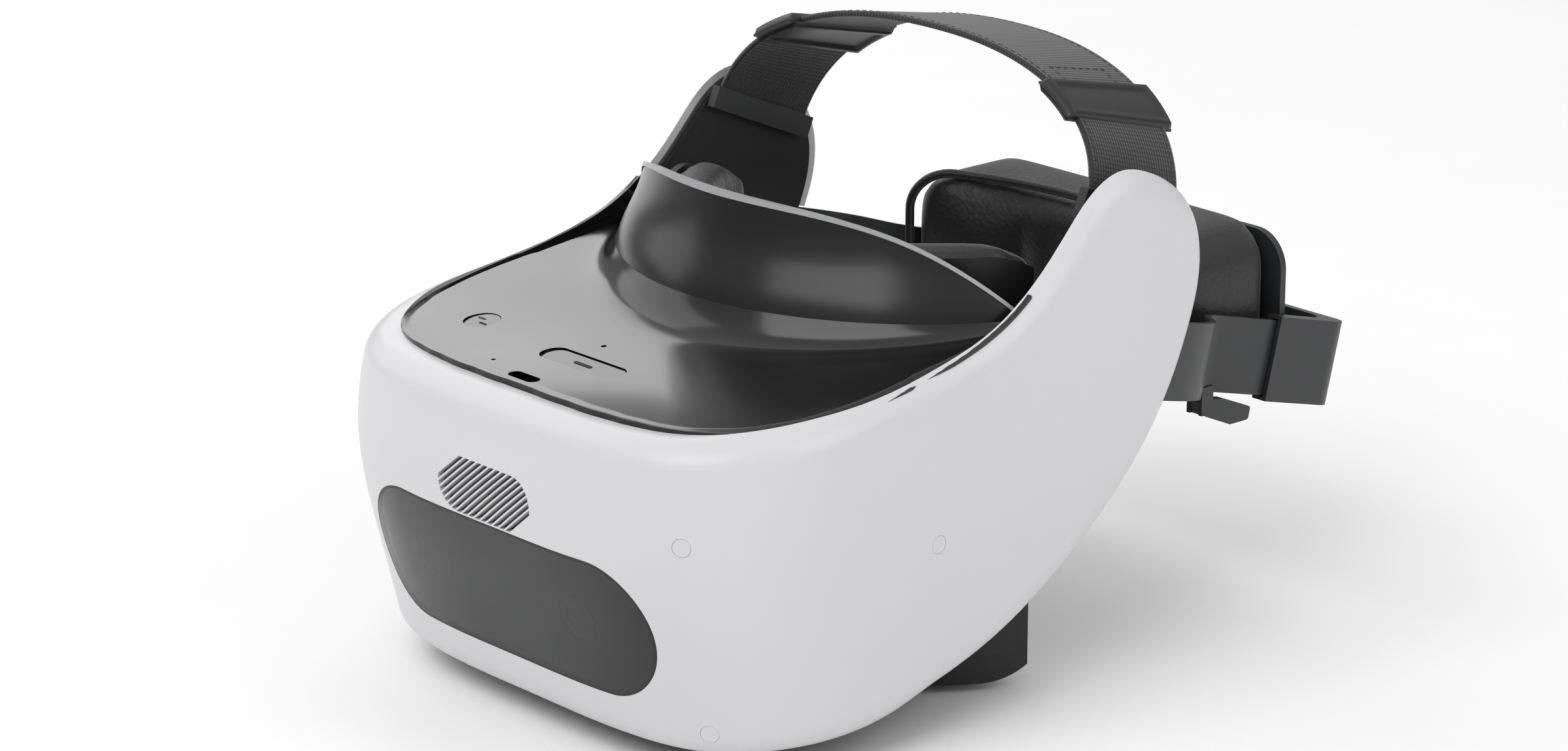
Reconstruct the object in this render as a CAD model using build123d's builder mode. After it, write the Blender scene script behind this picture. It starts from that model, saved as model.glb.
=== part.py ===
"""All-in-one virtual reality headset for an adult head: a C-shaped front body whose two arms sweep back along
the temples, a rear band with a tension dial, a padded face rest and a webbing strap over the crown.

Axes: +X is the wearer's left, +Y points back towards the wearer, +Z is up. The pieces are drawn from the front
window's face, at Y = 0 on the middle plane, and the finished model is seated with its origin at the middle of
its footprint, level with the cheek pads' lowest point.
"""
import math
import os

from build123d import *

os.makedirs("parts", exist_ok=True)

# --- front body: levels of the outline, and its reach forwards and to each side at each level
levels = (-6.0, 25.0, 50.0, 80.0, 104.0, 135.0, 172.0)
fronts = (17.0, 5.0, -1.0, -4.5, 0.0, 12.0, 34.0)
half_widths = (89.0, 93.0, 94.5, 95.5, 95.0, 94.0, 93.0)
outline_length = 210.0
shell_wall = 2.2
edge_radius = 9.0
side_lip = 5.0
front_lip = 8.5
joint_gap = 0.3
flank_steps = 30

# --- footprint: from the window's face back to the middle of the whole length, and from the drawing's zero level
# up to the lowest point
window_to_middle = 146.69
pads_to_floor = 1.0

# --- top deck
deck_slope = 0.137
deck_reference_y = 36.6
deck_reference_z = 107.1
deck_sink = 1.0
deck_thickness = 3.0

# --- head: upright axis that the brow shroud and the face rest are turned about
head_y = 165.0
wall_radius = 80.0
wall_thickness = 2.6

# --- front window and cameras
window_z = 44.3
window_tilt = 12.5
window_length = 129.0
window_height = 43.6
window_thickness = 1.6
gasket_width = 0.9
camera_spacing = 66.8
camera_radius = 7.9
camera_depth = 9.0

# --- air inlet grille
grille_x = -1.5
grille_z = 75.0
grille_length = 43.0
grille_height = 17.5
slot_count = 16
slot_pitch = 2.9
slot_width = 1.25
slot_lean = 38.0

# --- buttons and sockets on the deck
power_x = -54.0
power_y = 36.6
power_radius = 5.6
button_gap = 0.15
rocker_gap = 0.25
rocker_x = -0.8
rocker_y = 32.5
rocker_length = 34.6
rocker_width = 8.8
usb_x = -4.0
usb_y = 13.5
led_x = -23.0
led_y = 17.0
mic_x = -6.5
mic_y = 45.0
jack_radius = 1.8

# --- optics
eye_spacing = 63.0
eye_z = 72.0
barrel_radius = 24.0
rod_radius = 1.5
running_gap = 0.05
rod_rise = 28.0
rod_y = 52.0

# --- rear band, tilted down towards the back
band_tilt = 14.4
band_y = 230.0
band_z = 86.0
band_height = 24.0
band_thickness = 1.8
rear_half_width = 70.0
rear_length = 55.8
rear_wall = 5.6
rear_height = 27.0
rear_corner = 14.0
dial_radius = 19.0
dial_thickness = 9.0
dial_shaft_radius = 3.0

# --- strap over the crown
strap_width = 38.0
strap_thickness = 1.8
strap_half_span = 83.3
strap_end_z = 141.0
strap_top_z = 191.0

tilt_sine = math.sin(math.radians(window_tilt))
tilt_cosine = math.cos(math.radians(window_tilt))
window_plane = Plane(origin=(0, 0, window_z), x_dir=(1, 0, 0), z_dir=(0, -tilt_cosine, -tilt_sine))
front_plane = Plane(origin=(0, 0, 0), x_dir=(1, 0, 0), z_dir=(0, -1, 0))
deck_length = math.hypot(1, deck_slope)
deck_plane = Plane(
    origin=(0, deck_reference_y, deck_reference_z),
    x_dir=(1, 0, 0),
    z_dir=(0, -deck_slope / deck_length, 1 / deck_length),
)
band_sine = math.sin(math.radians(band_tilt))
band_cosine = math.cos(math.radians(band_tilt))
band_plane = Plane(origin=(0, band_y, band_z), x_dir=(1, 0, 0), z_dir=(0, band_sine, band_cosine))


def outline(step, inset, front_inset):
    """The body's outline seen from above at one level, drawn in by an inset."""
    front = fronts[step] + front_inset
    half = half_widths[step] - inset
    with BuildSketch(Plane.XY.offset(levels[step])) as sketch:
        with BuildLine():
            side = Spline(
                (0, front),
                (0.45 * half, front + 0.9),
                (0.80 * half, front + 10.5),
                (0.955 * half, front + 29.0),
                (half, front + 78.0),
                (0.98 * half, front + 150.0),
                (0.945 * half, front + outline_length),
                tangents=((1, 0), (-0.08, 1)),
            )
            Line(side @ 1, (0, front + outline_length))
            mirror(about=Plane.YZ)
        make_face()
    return sketch.sketch


def column(inset, front_inset):
    """Everything inside the outline, at all levels."""
    with BuildPart() as block:
        loft(sections=[outline(step, inset, front_inset) for step in range(len(levels))])
    return block.part


def side_view(inset):
    """The body's outline seen from the side: the deck line, the arm's rounded end and the underside."""
    deck_end = (48, deck_reference_z + deck_sink + deck_slope * (48 - deck_reference_y))
    flank = Spline(
        deck_end, (90, 116.5), (115, 124.3), (128, 133), (139, 143.5), (150, 155), (165, 161),
        (180, 156.5), (193, 147), (200, 127), (195, 106), (184, 85), (160, 57.5), (130, 34), (105, 22),
        (79, 14.5), (48, 10),
        tangents=((1, deck_slope), (-1, -0.06)),
        mode=Mode.PRIVATE,
    )
    drawn_in = []
    for step in range(flank_steps + 1):
        place = flank.position_at(step / flank_steps)
        run = flank.tangent_at(step / flank_steps)
        drawn_in.append((place.X + inset * run.Y, place.Y - inset * run.X))
    with BuildSketch(Plane.YZ) as sketch:
        with BuildLine():
            sweep_line = Spline(drawn_in, tangents=(flank % 0, flank % 1))
            start = sweep_line @ 0
            corner = (-40, start.Y - deck_slope * (start.X + 40))
            Line(corner, start)
            Line(sweep_line @ 1, (-40, 6 + inset))
            Line((-40, 6 + inset), corner)
        make_face()
    return sketch.sketch


def body(inset, rounding):
    """The whole outer form, drawn in by an inset, with its long edge rounded."""
    with BuildPart() as block:
        loft(sections=[outline(step, inset, inset) for step in range(len(levels))])
        extrude(side_view(inset), amount=110, both=True, mode=Mode.INTERSECT)
        if rounding:
            fillet(block.edges().filter_by(lambda edge: edge.geom_type == GeomType.BSPLINE), rounding)
    return block.part


def side_slab(outer_inset, inner_inset, y_start, y_end, z_start, z_end):
    """A skin that follows the side view between two insets, kept between two Y and two Z values."""
    with BuildPart() as slab:
        extrude(side_view(outer_inset), amount=110, both=True)
        extrude(side_view(inner_inset), amount=110, both=True, mode=Mode.SUBTRACT)
        with Locations((0, (y_start + y_end) / 2, (z_start + z_end) / 2)):
            Box(220, y_end - y_start, z_end - z_start, mode=Mode.INTERSECT)
    return slab.part


def stadium(plane, length, height, start, reach):
    """A round-ended bar that runs from start to reach along the plane's normal."""
    with BuildPart() as bar:
        with BuildSketch(plane.offset(start)):
            SlotOverall(length, height)
        extrude(amount=reach - start)
    return bar.part


def disc(plane, radius, x, y, start, reach):
    """A round bar on a plane at (x, y), from start to reach along the normal."""
    with BuildPart() as bar:
        with BuildSketch(plane.offset(start)):
            with Locations((x, y)):
                Circle(radius)
        extrude(amount=reach - start)
    return bar.part


def turned_wall(inner_radius, outer_radius, bottom, top, half_angle):
    """An upright wall bent about the head's axis, open towards the back."""
    with BuildPart() as wall:
        with BuildSketch(Plane.XY.offset(bottom)):
            with BuildLine():
                outer = CenterArc((0, head_y), outer_radius, -90 - half_angle, 2 * half_angle)
                inner = CenterArc((0, head_y), inner_radius, -90 - half_angle, 2 * half_angle)
                Line(outer @ 0, inner @ 0)
                Line(outer @ 1, inner @ 1)
            make_face()
        extrude(amount=top - bottom)
    return wall.part


plain_body = body(0, 0)
thin_body = body(window_thickness + 0.2, 0)
rounded_body = body(0, edge_radius)

# The air slots, clipped to a round-ended field.
with BuildPart() as slots:
    with BuildSketch(front_plane.offset(-12)) as slot_field:
        for index in range(slot_count):
            shift = (index - (slot_count - 1) / 2) * slot_pitch
            with Locations((grille_x + shift, grille_z)):
                Rectangle(60, slot_width, rotation=slot_lean)
        with Locations((grille_x, grille_z)):
            SlotOverall(grille_length, grille_height, mode=Mode.INTERSECT)
    extrude(amount=20)

# Round flush sensor covers: one on each front corner high and low, and one on each side.
plug_radius = 2.7
plug_depth = 1.5
plug_places = (
    Plane(origin=(75.5, 5.7, 76.5), z_dir=(0.5, -0.866, 0)),
    Plane(origin=(73.5, 17.5, 17.5), z_dir=(0.5, -0.78, -0.38)),
    Plane(origin=(95.5, 86.0, 64.0), z_dir=(1, 0, 0)),
)
plug_outer = body(0.05, 0)
plug_inner = body(plug_depth, 0)
with BuildPart() as plug_holes:
    for place in plug_places:
        add(disc(place, plug_radius + 0.1, 0, 0, -4, 4))
    add(plug_inner, mode=Mode.SUBTRACT)
    mirror(about=Plane.YZ)
with BuildPart() as sensor_plugs:
    for place in plug_places:
        add(disc(place, plug_radius, 0, 0, -4, 4))
    add(plug_inner, mode=Mode.SUBTRACT)
    mirror(about=Plane.YZ)
    add(plug_outer, mode=Mode.INTERSECT)


def band_path(widening, y_end):
    """The flat rear band: from inside the arm it bends in behind it, then runs straight into the housing."""
    with BuildPart() as band:
        with BuildSketch(band_plane.offset(-band_height / 2 - widening)):
            with BuildLine() as route:
                bend = Spline(
                    (88.4, -62), (87.4, -42), (79.5, -20), (67.2, -3), tangents=((-0.02, 1), (0, 1))
                )
                Line(bend @ 1, (67.2, y_end))
            trace(route.line, line_width=band_thickness + 2 * widening)
        extrude(amount=band_height + 2 * widening)
    return band.part


with BuildPart() as outer_shell:
    add(rounded_body)
    add(body(shell_wall, edge_radius - shell_wall), mode=Mode.SUBTRACT)
    add(column(side_lip, front_lip), mode=Mode.SUBTRACT)
    add(stadium(window_plane, window_length, window_height, -14, 10), mode=Mode.SUBTRACT)
    add(slots.part, mode=Mode.SUBTRACT)
    add(plug_holes.part, mode=Mode.SUBTRACT)
    add(band_path(0.5, 20), mode=Mode.SUBTRACT)
    mirror(band_path(0.5, 20), about=Plane.YZ, mode=Mode.SUBTRACT)


# --- top deck: the flat part follows the deck line, and a flared hump turned about the head's axis rises from it
hump_base_radius = 93.5
hump_top_z = 121.0
shroud_top_radius = 81.5
shroud_top_z = 152.0
shroud_wall = 2.4
shroud_half_angle = 74.0
socket_wall = 0.8

power_plane = Plane(
    origin=deck_plane.from_local_coords((power_x, (power_y - deck_reference_y) * deck_length, 0)),
    x_dir=(1, 0, 0), z_dir=deck_plane.z_dir,
)
rocker_plane = Plane(
    origin=deck_plane.from_local_coords((rocker_x, (rocker_y - deck_reference_y) * deck_length, 0)),
    x_dir=(1, 0, 0), z_dir=deck_plane.z_dir,
)
usb_plane = Plane(
    origin=deck_plane.from_local_coords((usb_x, (usb_y - deck_reference_y) * deck_length, 0)),
    x_dir=(1, 0, 0), z_dir=deck_plane.z_dir,
)
led_plane = Plane(
    origin=deck_plane.from_local_coords((led_x, (led_y - deck_reference_y) * deck_length, 0)),
    x_dir=(1, 0, 0), z_dir=deck_plane.z_dir,
)
mic_plane = Plane(
    origin=deck_plane.from_local_coords((mic_x, (mic_y - deck_reference_y) * deck_length, 0)),
    x_dir=(1, 0, 0), z_dir=deck_plane.z_dir,
)
rest_column = column(side_lip + joint_gap, front_lip + joint_gap)


def flare_surface(bottom, top_radius, base_radius, top, wall):
    """A ring that flares outwards to its foot, turned about the head's axis."""
    with BuildPart() as ring:
        with BuildSketch(Plane(origin=(0, head_y, 0), x_dir=(0, -1, 0), z_dir=(-1, 0, 0))):
            with BuildLine():
                flank = Spline(
                    (base_radius, bottom), (base_radius - 14, bottom + 3.4), (top_radius, top),
                    tangents=((-1, 0.04), (-0.28, 1)),
                )
                Line(flank @ 1, (top_radius - wall, top))
                Line((top_radius - wall, top), (top_radius - wall, bottom - 1.5))
                Line((top_radius - wall, bottom - 1.5), (base_radius, bottom - 1.5))
                Line((base_radius, bottom - 1.5), flank @ 0)
            make_face()
        revolve(axis=Axis((0, head_y, 0), (0, 0, 1)), revolution_arc=360)
    return ring.part


def shroud_wall_part(outwards, wall):
    """The brow shroud's leaning wall, from the hump's top upwards."""
    foot_radius = hump_base_radius + outwards
    head_radius = shroud_top_radius + outwards
    with BuildPart() as wall_ring:
        with BuildSketch(Plane(origin=(0, head_y, 0), x_dir=(0, -1, 0), z_dir=(-1, 0, 0))):
            with BuildLine():
                flank = Spline(
                    (foot_radius, hump_top_z), (foot_radius - 6.4, 136), (head_radius, shroud_top_z + 3),
                    tangents=((-0.28, 1), (-0.3, 1)),
                )
                Line(flank @ 1, (head_radius - wall, shroud_top_z + 3))
                Line((head_radius - wall, shroud_top_z + 3), (foot_radius - wall, hump_top_z))
                Line((foot_radius - wall, hump_top_z), flank @ 0)
            make_face()
        revolve(axis=Axis((0, head_y, 0), (0, 0, 1)), revolution_arc=360)
    return wall_ring.part


with BuildPart() as top_deck:
    add(side_slab(deck_sink, deck_sink + deck_thickness, -10, 126, 90, 140))
    add(flare_surface(106.5, hump_base_radius, 118.0, hump_top_z, 3.5))
    with Locations((0, 60, 120)):
        Box(220, 132, 60, mode=Mode.INTERSECT)
    add(rest_column, mode=Mode.INTERSECT)
    add(disc(Plane.XY, hump_base_radius - 3.5, 0, head_y, 80, 140), mode=Mode.SUBTRACT)
    add(disc(power_plane, power_radius + button_gap, 0, 0, -6, 4), mode=Mode.SUBTRACT)
    add(
        stadium(rocker_plane, rocker_length + 2 * rocker_gap, rocker_width + 2 * rocker_gap, -6, 4),
        mode=Mode.SUBTRACT,
    )
    add(stadium(usb_plane, 12.4, 4.6, -8, 4), mode=Mode.SUBTRACT)
    add(disc(led_plane, 0.8, 0, 0, -8, 4), mode=Mode.SUBTRACT)
    add(disc(mic_plane, 0.9, 0, 0, -8, 4), mode=Mode.SUBTRACT)
    add(shroud_wall_part(0.9, shroud_wall + 1.4), mode=Mode.SUBTRACT)


def rim_cutter(lift):
    """The space above the shroud's rim, which falls away towards the temples."""
    with BuildPart() as cutter:
        with BuildSketch(Plane.YZ) as above:
            with BuildLine():
                edge = Spline(
                    (75, 151.5 + lift), (85, 151.0 + lift), (105, 143.0 + lift), (125, 125.0 + lift),
                    (140, 108.0 + lift),
                )
                Line(edge @ 1, (180, 108.0 + lift))
                Line((180, 108.0 + lift), (180, 200))
                Line((180, 200), (60, 200))
                Line((60, 200), (60, 151.5 + lift))
                Line((60, 151.5 + lift), edge @ 0)
            make_face()
        extrude(amount=110, both=True)
    return cutter.part


with BuildPart() as brow_shroud:
    add(shroud_wall_part(0, shroud_wall))
    add(turned_wall(20, 100, 100, 170, shroud_half_angle), mode=Mode.INTERSECT)
    add(rim_cutter(-1.6), mode=Mode.SUBTRACT)
with BuildPart() as shroud_rim:
    add(shroud_wall_part(0.6, shroud_wall + 0.8))
    add(turned_wall(20, 100, 100, 170, shroud_half_angle), mode=Mode.INTERSECT)
    add(rim_cutter(-1.6), mode=Mode.INTERSECT)
    add(rim_cutter(0), mode=Mode.SUBTRACT)

# --- inside of the arms, underside and the wall that the face rest hangs on
liner_thickness = 1.6
with BuildPart() as arm_liner_left:
    add(column(side_lip + joint_gap, front_lip))
    add(column(side_lip + joint_gap + liner_thickness, front_lip), mode=Mode.SUBTRACT)
    extrude(side_view(5.0), amount=110, both=True, mode=Mode.INTERSECT)
    with Locations((60, 160, 90)):
        Box(100, 134, 200, mode=Mode.INTERSECT)
    with Locations((60, 100, 113.2)):
        Box(100, 53, 17.4, mode=Mode.SUBTRACT)
    add(band_path(0.5, 20), mode=Mode.SUBTRACT)
with BuildPart() as arm_liner_right:
    mirror(arm_liner_left.part, about=Plane.YZ)

wall_half_angle = 68.0
with BuildPart() as bottom_cover:
    add(side_slab(0.6, 3.0, 6, 108, 0, 40))
    add(rest_column, mode=Mode.INTERSECT)
    add(disc(Plane.XY, wall_radius + wall_thickness + 0.3, 0, head_y, -10, 60), mode=Mode.SUBTRACT)
    with Locations((45, 40.5, 12)):
        Box(17.5, 6.6, 20, mode=Mode.SUBTRACT)

eye_width = 124.0
eye_height = 74.0
face_bottom = 1.0
with BuildPart() as eye_opening:
    with BuildSketch(Plane(origin=(0, 60, eye_z), x_dir=(1, 0, 0), z_dir=(0, 1, 0))):
        RectangleRounded(eye_width, eye_height, 30)
    extrude(amount=80)
with BuildPart() as nose_notch:
    with BuildSketch(Plane(origin=(0, 60, 0), x_dir=(1, 0, 0), z_dir=(0, -1, 0))):
        with BuildLine():
            FilletPolyline((-24, -12), (-16, 24), (16, 24), (24, -12), radius=8)
            Line((24, -12), (-24, -12))
        make_face()
    extrude(amount=-80)

with BuildPart() as face_wall:
    add(turned_wall(wall_radius, wall_radius + wall_thickness, 14, 118, wall_half_angle))
    add(eye_opening.part, mode=Mode.SUBTRACT)
    add(nose_notch.part, mode=Mode.SUBTRACT)


def face_pad(inner_radius, outer_radius, drop, half_angle, corner):
    """A padded or stiff frame bent round the face, with the eye opening and the nose notch cut out."""
    with BuildPart() as pad:
        add(turned_wall(inner_radius, outer_radius, face_bottom + drop, 140 - drop, half_angle))
        with BuildSketch(Plane.YZ):
            with Locations((110 - drop, (face_bottom + 140) / 2)):
                RectangleRounded(92 - 2 * drop, 139 - 2 * drop, corner)
        extrude(amount=110, both=True, mode=Mode.INTERSECT)
        add(eye_opening.part, mode=Mode.SUBTRACT)
        add(nose_notch.part, mode=Mode.SUBTRACT)
    return pad.part


with BuildPart() as face_frame:
    add(face_pad(wall_radius - 2.4, wall_radius, 3, 72, 24))
with BuildPart() as face_cushion:
    add(face_pad(64, wall_radius - 2.4, 0, 76, 27))
with BuildPart() as nose_flap:
    add(turned_wall(wall_radius - 2.2, wall_radius - 0.8, 8, 24, 7.5))

# --- front window with its two tracking cameras
with BuildPart() as visor_window:
    add(plain_body)
    add(thin_body, mode=Mode.SUBTRACT)
    add(
        stadium(window_plane, window_length - 2 * gasket_width, window_height - 2 * gasket_width, -14, 10),
        mode=Mode.INTERSECT,
    )
with BuildPart() as visor_gasket:
    add(plain_body)
    add(body(shell_wall, 0), mode=Mode.SUBTRACT)
    add(stadium(window_plane, window_length, window_height, -14, 10), mode=Mode.INTERSECT)
    add(
        stadium(window_plane, window_length - 2 * gasket_width, window_height - 2 * gasket_width, -14, 10),
        mode=Mode.SUBTRACT,
    )
with BuildPart() as camera_bracket:
    add(body(shell_wall + 0.2, 0))
    add(body(shell_wall + 1.8, 0), mode=Mode.SUBTRACT)
    add(stadium(window_plane, window_length + 8, window_height - 3, -14, 10), mode=Mode.INTERSECT)
    for side in (-1, 1):
        add(disc(window_plane, camera_radius + 0.05, side * camera_spacing / 2, 0, -30, 20), mode=Mode.SUBTRACT)
with BuildPart() as camera_left:
    add(disc(window_plane, camera_radius, camera_spacing / 2, 0, -3.2 - camera_depth, -3.2))
    add(disc(window_plane, camera_radius - 2.2, camera_spacing / 2, 0, -5.6, -3.2), mode=Mode.SUBTRACT)
with BuildPart() as camera_right:
    mirror(camera_left.part, about=Plane.YZ)
with BuildPart() as camera_glass_left:
    add(disc(window_plane, camera_radius - 2.25, camera_spacing / 2, 0, -5.6, -3.9))
with BuildPart() as camera_glass_right:
    mirror(camera_glass_left.part, about=Plane.YZ)

# --- air inlet: fine screen, fan and heat sink on the main board
fan_x = grille_x
fan_z = grille_z
with BuildPart() as grille_screen:
    add(body(shell_wall, 0))
    add(body(shell_wall + 0.7, 0), mode=Mode.SUBTRACT)
    add(stadium(Plane(origin=(fan_x, 0, fan_z), x_dir=(1, 0, 0), z_dir=(0, -1, 0)), 46, 19, -6, 10),
        mode=Mode.INTERSECT)
fan_plane = Plane(origin=(fan_x, 2.5, fan_z), x_dir=(1, 0, 0), z_dir=(0, 1, 0))
with BuildPart() as fan_housing:
    with BuildSketch(fan_plane):
        RectangleRounded(34, 32, 3)
        Circle(15, mode=Mode.SUBTRACT)
    extrude(amount=7)
    with BuildSketch(fan_plane.offset(7)):
        RectangleRounded(34, 32, 3)
        Circle(15, mode=Mode.SUBTRACT)
        Rectangle(33, 2)
        Rectangle(2, 31)
        Circle(4.5)
    extrude(amount=1.2)
    with BuildSketch(fan_plane.offset(1.5)):
        Circle(1)
    extrude(amount=5.5)
with BuildPart() as fan_rotor:
    with BuildSketch(fan_plane.offset(0.6)):
        Circle(5)
    extrude(amount=5.9)
    with BuildSketch(fan_plane.offset(1.2)):
        with PolarLocations(8.9, 7):
            Rectangle(9.6, 1.1, rotation=18)
    extrude(amount=4.6)
    with BuildSketch(fan_plane.offset(1.4)):
        Circle(1 + running_gap)
    extrude(amount=8, mode=Mode.SUBTRACT)
with BuildPart() as heat_sink:
    with BuildSketch(fan_plane.offset(21)):
        Rectangle(44, 34)
    extrude(amount=2)
    with BuildSketch(fan_plane.offset(11)):
        with GridLocations(4, 0, 11, 1):
            Rectangle(1.2, 34)
    extrude(amount=10)
with BuildPart() as main_board:
    with BuildSketch(Plane(origin=(0, 25.5, 54), x_dir=(1, 0, 0), z_dir=(0, 1, 0))):
        RectangleRounded(132, 66, 4)
    extrude(amount=1.6)
with BuildPart() as battery_pack:
    with BuildSketch(Plane(origin=(0, 27.5, 93.5), x_dir=(1, 0, 0), z_dir=(0, 1, 0))):
        RectangleRounded(76, 8, 2)
    extrude(amount=12)

# --- optics: two lens barrels that slide apart on a pair of rods, moved together by one wheel
optics_plane = Plane(origin=(0, 66, eye_z), x_dir=(1, 0, 0), z_dir=(0, 1, 0))
with BuildPart() as optics_plate:
    with BuildSketch(optics_plane):
        RectangleRounded(156, 64, 12)
        with Locations((-eye_spacing / 2, 0), (eye_spacing / 2, 0)):
            SlotOverall(2 * barrel_radius + 9, 2 * barrel_radius + 1, mode=Mode.SUBTRACT)
    extrude(amount=2.4)
with BuildPart() as guide_rods:
    for rise in (-rod_rise, rod_rise):
        with BuildSketch(Plane.YZ.offset(-70)):
            with Locations((rod_y, eye_z + rise)):
                Circle(rod_radius)
        extrude(amount=140)
with BuildPart() as rod_holders:
    for side in (-1, 1):
        with Locations((side * 68, 56, eye_z)):
            Box(4, 20, 64)
    for rise in (-rod_rise, rod_rise):
        with BuildSketch(Plane.YZ.offset(-80)):
            with Locations((rod_y, eye_z + rise)):
                Circle(rod_radius)
        extrude(amount=160, mode=Mode.SUBTRACT)
with BuildPart() as lens_barrel_left:
    with BuildSketch(Plane(origin=(eye_spacing / 2, 43, eye_z), x_dir=(1, 0, 0), z_dir=(0, 1, 0))):
        Circle(barrel_radius)
        Circle(barrel_radius - 2, mode=Mode.SUBTRACT)
    extrude(amount=33)
    for rise in (-1, 1):
        with Locations((eye_spacing / 2, rod_y, eye_z + rise * rod_rise)):
            Box(14, 8, 8)
    with BuildSketch(Plane(origin=(eye_spacing / 2, 40, eye_z), x_dir=(1, 0, 0), z_dir=(0, 1, 0))):
        Circle(barrel_radius - 2)
    extrude(amount=40, mode=Mode.SUBTRACT)
    for rise in (-rod_rise, rod_rise):
        with BuildSketch(Plane.YZ):
            with Locations((rod_y, eye_z + rise)):
                Circle(rod_radius + running_gap)
        extrude(amount=90, mode=Mode.SUBTRACT)
with BuildPart() as lens_barrel_right:
    mirror(lens_barrel_left.part, about=Plane.YZ)
with BuildPart() as lens_left:
    with BuildSketch(Plane(origin=(eye_spacing / 2, 66, eye_z), x_dir=(1, 0, 0), z_dir=(0, 1, 0))):
        Circle(barrel_radius - 2)
    extrude(amount=8)
    fillet(lens_left.edges().group_by(Axis.Y)[-1], 4.5)
with BuildPart() as lens_right:
    mirror(lens_left.part, about=Plane.YZ)
with BuildPart() as display_left:
    with BuildSketch(Plane(origin=(eye_spacing / 2, 41, eye_z), x_dir=(1, 0, 0), z_dir=(0, 1, 0))):
        RectangleRounded(50, 46, 3)
    extrude(amount=2)
with BuildPart() as display_right:
    mirror(display_left.part, about=Plane.YZ)

wheel_x = 45.0
wheel_z = 17.0
wheel_radius = 7.6
with BuildPart() as ipd_wheel:
    with BuildSketch(Plane(origin=(wheel_x, 38.2, wheel_z), x_dir=(1, 0, 0), z_dir=(0, 1, 0))):
        Circle(wheel_radius)
        with PolarLocations(wheel_radius, 24):
            Circle(0.35, mode=Mode.SUBTRACT)
        Circle(rod_radius + running_gap, mode=Mode.SUBTRACT)
    extrude(amount=4.6)
with BuildPart() as ipd_bearing:
    for y_start in (33.4, 43.8):
        with BuildSketch(Plane(origin=(wheel_x, y_start, 0), x_dir=(-1, 0, 0), z_dir=(0, 1, 0))):
            with Locations((0, wheel_z + 0.6)):
                Rectangle(9, 8.4)
        extrude(amount=3.8)
    with BuildSketch(Plane(origin=(wheel_x, 33.4, wheel_z), x_dir=(1, 0, 0), z_dir=(0, 1, 0))):
        Circle(rod_radius)
    extrude(amount=14.2)

# --- deck controls
with BuildPart() as power_button:
    add(disc(power_plane, power_radius, 0, 0, -3.6, 0.2))
    add(disc(power_plane, power_radius + 1.0, 0, 0, -4.6, -3.6))
with BuildPart() as volume_rocker:
    add(stadium(rocker_plane, rocker_length, rocker_width, -2.4, 0.2))
    with BuildSketch(rocker_plane.offset(-5.6)):
        Rectangle(4.4, 4)
    extrude(amount=3.6)
    with BuildSketch(Plane(origin=rocker_plane.from_local_coords((0, -6, -4.2)), x_dir=(1, 0, 0),
                           z_dir=rocker_plane.y_dir)):
        Circle(0.8 + running_gap)
    extrude(amount=12, mode=Mode.SUBTRACT)
with BuildPart() as rocker_cradle:
    with BuildSketch(rocker_plane.offset(-6.6)):
        Rectangle(8, 12)
    extrude(amount=3.6)
    with BuildSketch(rocker_plane.offset(-6.0)):
        Rectangle(8.1, 4.6)
    extrude(amount=4, mode=Mode.SUBTRACT)
    with BuildSketch(Plane(origin=rocker_plane.from_local_coords((0, -5, -4.2)), x_dir=(1, 0, 0),
                           z_dir=rocker_plane.y_dir)):
        Circle(0.8)
    extrude(amount=10)
with BuildPart() as usb_shell:
    add(stadium(usb_plane, 9.4, 3.6, -9.0, -0.6))
    add(stadium(usb_plane, 8.6, 2.8, -8.2, 0), mode=Mode.SUBTRACT)
    add(stadium(usb_plane, 12.2, 4.4, -3.4, -2.2))
    add(stadium(usb_plane, 8.6, 2.8, -8.2, 0), mode=Mode.SUBTRACT)
with BuildPart() as usb_tongue:
    with BuildSketch(usb_plane.offset(-8.2)):
        Rectangle(6.6, 0.7)
    extrude(amount=5.4)
with BuildPart() as status_led:
    add(disc(led_plane, 0.75, 0, 0, -3.4, -0.05))
with BuildPart() as mic_mesh:
    add(disc(mic_plane, 0.85, 0, 0, -2.6, -0.4))

# --- side sockets: the headphone jack under the left front corner
with BuildPart() as headphone_jack:
    with BuildSketch(Plane.XY.offset(9.8)):
        with Locations((62, 40)):
            Circle(3.4)
    extrude(amount=12)
    with BuildSketch(Plane.XY.offset(9)):
        with Locations((62, 40)):
            Circle(jack_radius)
    extrude(amount=11, mode=Mode.SUBTRACT)
with BuildPart() as jack_cover:
    add(bottom_cover.part)
    with BuildSketch(Plane.XY.offset(-5)):
        with Locations((62, 40)):
            Circle(3.5)
    extrude(amount=40, mode=Mode.SUBTRACT)
bottom_cover = jack_cover

# --- rear band and housing
with BuildPart() as side_band_left:
    add(band_path(0, 30))
with BuildPart() as side_band_right:
    mirror(side_band_left.part, about=Plane.YZ)

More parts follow.
